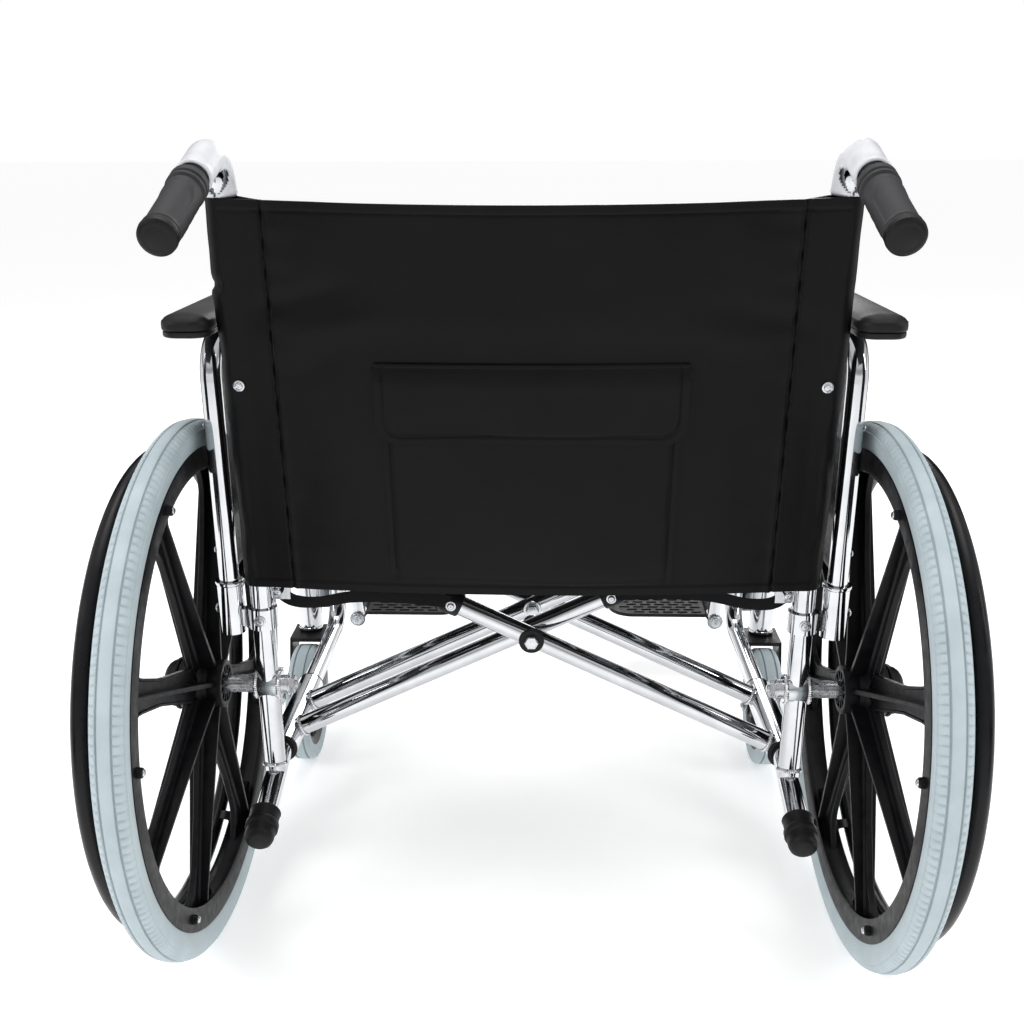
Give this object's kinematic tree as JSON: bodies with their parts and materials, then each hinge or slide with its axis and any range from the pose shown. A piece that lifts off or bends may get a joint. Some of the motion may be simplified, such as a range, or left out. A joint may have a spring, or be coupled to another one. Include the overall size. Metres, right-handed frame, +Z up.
{
  "type": "manual wheelchair",
  "caption": "Extra-wide folding wheelchair with spoked rear wheels, swivel casters, sling seat and back, lift-out armrests, swing-away footrests and push handles.",
  "frame": {"origin": "middle of the bounding box at floor level", "axes": "+X to the sitter's right, +Y forward towards the footrests, +Z up"},
  "size_m": [0.847, 1.061, 0.898],
  "materials": {
    "chrome": "polished",
    "fastener": "zinc plated",
    "vinyl": "grained vinyl",
    "webbing": "woven",
    "arm_pad": "moulded foam skin",
    "grip": "matte",
    "elbow": "satin",
    "black_plastic": "satin",
    "tyre": "matte",
    "mag": "satin",
    "fork": "satin",
    "core": "satin",
    "footplate": "textured"
  },
  "bodies": {
    "left_frame": {"side_frame_left": "chrome", "back_post_left": "chrome", "elbow_left": "elbow", "grip_left": "grip", "tip_cap_left": "grip", "saddle_left": "black_plastic", "strap_left": "webbing", "arm_socket_rear_left": "chrome", "arm_socket_front_left": "chrome", "wheel_axle_left": "fastener", "brake_bracket_left": "chrome", "back_sling": "vinyl", "pocket": "vinyl", "pocket_flap": "vinyl"},
    "right_frame": {"side_frame_right": "chrome", "back_post_right": "chrome", "elbow_right": "elbow", "grip_right": "grip", "tip_cap_right": "grip", "saddle_right": "black_plastic", "strap_right": "webbing", "arm_socket_rear_right": "chrome", "arm_socket_front_right": "chrome", "wheel_axle_right": "fastener", "brake_bracket_right": "chrome"},
    "cross_a": {"cross_a": "chrome", "pivot_bolt_rear": "fastener", "pivot_bolt_front": "fastener"},
    "cross_b": {"cross_b": "chrome"},
    "seat": {"seat_sling": "vinyl"},
    "wheel_left": {"tyre_left": "tyre", "mag_wheel_left": "mag", "handrim_left": "mag", "hub_cap_left": "mag"},
    "fork_left": {"caster_fork_left": "fork", "caster_axle_left": "fastener"},
    "caster_left": {"caster_tyre_left": "tyre", "caster_core_left": "core"},
    "arm_left": {"arm_frame_left": "chrome", "arm_pad_left": "arm_pad", "side_panel_left": "black_plastic"},
    "brake_left": {"brake_lever_left": "chrome", "brake_grip_left": "grip"},
    "hanger_left": {"hanger_left": "chrome"},
    "foot_left": {"footplate_left": "footplate"},
    "wheel_right": {"tyre_right": "tyre", "mag_wheel_right": "mag", "handrim_right": "mag", "hub_cap_right": "mag"},
    "fork_right": {"caster_fork_right": "fork", "caster_axle_right": "fastener"},
    "caster_right": {"caster_tyre_right": "tyre", "caster_core_right": "core"},
    "arm_right": {"arm_frame_right": "chrome", "arm_pad_right": "arm_pad", "side_panel_right": "black_plastic"},
    "brake_right": {"brake_lever_right": "chrome", "brake_grip_right": "grip"},
    "hanger_right": {"hanger_right": "chrome"},
    "foot_right": {"footplate_right": "footplate"}
  },
  "joints": [
    {"name": "fold", "type": "hinge", "parent": "left_frame", "child": "cross_a", "pos_m": [-0.303, -0.0255, 0.198], "axis": [0, -1, 0], "range_deg": [0, 28], "deforming": ["back_sling", "pocket", "pocket_flap", "seat_sling", "strap_left", "strap_right"]},
    {"name": "cross_pivot", "type": "hinge", "parent": "cross_a", "child": "cross_b", "pos_m": [0, -0.0255, 0.3415], "axis": [0, -1, 0], "range_deg": [-56, 0]},
    {"name": "right_rail", "type": "hinge", "parent": "cross_b", "child": "right_frame", "pos_m": [0.303, -0.0255, 0.198], "axis": [0, -1, 0], "range_deg": [0, 28]},
    {"name": "seat_rail", "type": "hinge", "parent": "cross_b", "child": "seat", "pos_m": [-0.303, -0.0255, 0.485], "axis": [0, -1, 0], "range_deg": [0, 28]},
    {"name": "wheel_spin_left", "type": "hinge", "parent": "left_frame", "child": "wheel_left", "pos_m": [-0.379, -0.2255, 0.305], "axis": [1, 0, 0], "continuous": true},
    {"name": "caster_swivel_left", "type": "hinge", "parent": "left_frame", "child": "fork_left", "pos_m": [-0.347, 0.2145, 0.25], "axis": [0, 0, 1], "continuous": true},
    {"name": "caster_spin_left", "type": "hinge", "parent": "fork_left", "child": "caster_left", "pos_m": [-0.347, 0.1565, 0.0875], "axis": [1, 0, 0], "continuous": true},
    {"name": "arm_lift_left", "type": "slide", "parent": "left_frame", "child": "arm_left", "axis": [0, 0, 1], "range_m": [0, 0.12]},
    {"name": "brake_lock_left", "type": "hinge", "parent": "left_frame", "child": "brake_left", "pos_m": [-0.355, 0.1045, 0.352], "axis": [1, 0, 0], "range_deg": [0, 22]},
    {"name": "footrest_swing_left", "type": "hinge", "parent": "left_frame", "child": "hanger_left", "pos_m": [-0.303, 0.2445, 0.33], "axis": [0, 0, 1], "range_deg": [0, 90]},
    {"name": "footplate_flip_left", "type": "hinge", "parent": "hanger_left", "child": "foot_left", "pos_m": [-0.303, 0.4645, 0.13], "axis": [0, -1, 0], "range_deg": [0, 88]},
    {"name": "wheel_spin_right", "type": "hinge", "parent": "right_frame", "child": "wheel_right", "pos_m": [0.379, -0.2255, 0.305], "axis": [1, 0, 0], "continuous": true},
    {"name": "caster_swivel_right", "type": "hinge", "parent": "right_frame", "child": "fork_right", "pos_m": [0.347, 0.2145, 0.25], "axis": [0, 0, 1], "continuous": true},
    {"name": "caster_spin_right", "type": "hinge", "parent": "fork_right", "child": "caster_right", "pos_m": [0.347, 0.1565, 0.0875], "axis": [1, 0, 0], "continuous": true},
    {"name": "arm_lift_right", "type": "slide", "parent": "right_frame", "child": "arm_right", "axis": [0, 0, 1], "range_m": [0, 0.12]},
    {"name": "brake_lock_right", "type": "hinge", "parent": "right_frame", "child": "brake_right", "pos_m": [0.355, 0.1045, 0.352], "axis": [1, 0, 0], "range_deg": [0, 22]},
    {"name": "footrest_swing_right", "type": "hinge", "parent": "right_frame", "child": "hanger_right", "pos_m": [0.303, 0.2445, 0.33], "axis": [0, 0, -1], "range_deg": [0, 90]},
    {"name": "footplate_flip_right", "type": "hinge", "parent": "hanger_right", "child": "foot_right", "pos_m": [0.303, 0.4645, 0.13], "axis": [0, 1, 0], "range_deg": [0, 88]}
  ],
  "couplings": [
    {"joint": "cross_pivot", "follows": "fold", "ratio": -2},
    {"joint": "right_rail", "follows": "fold", "ratio": 1},
    {"joint": "seat_rail", "follows": "fold", "ratio": 1}
  ]
}
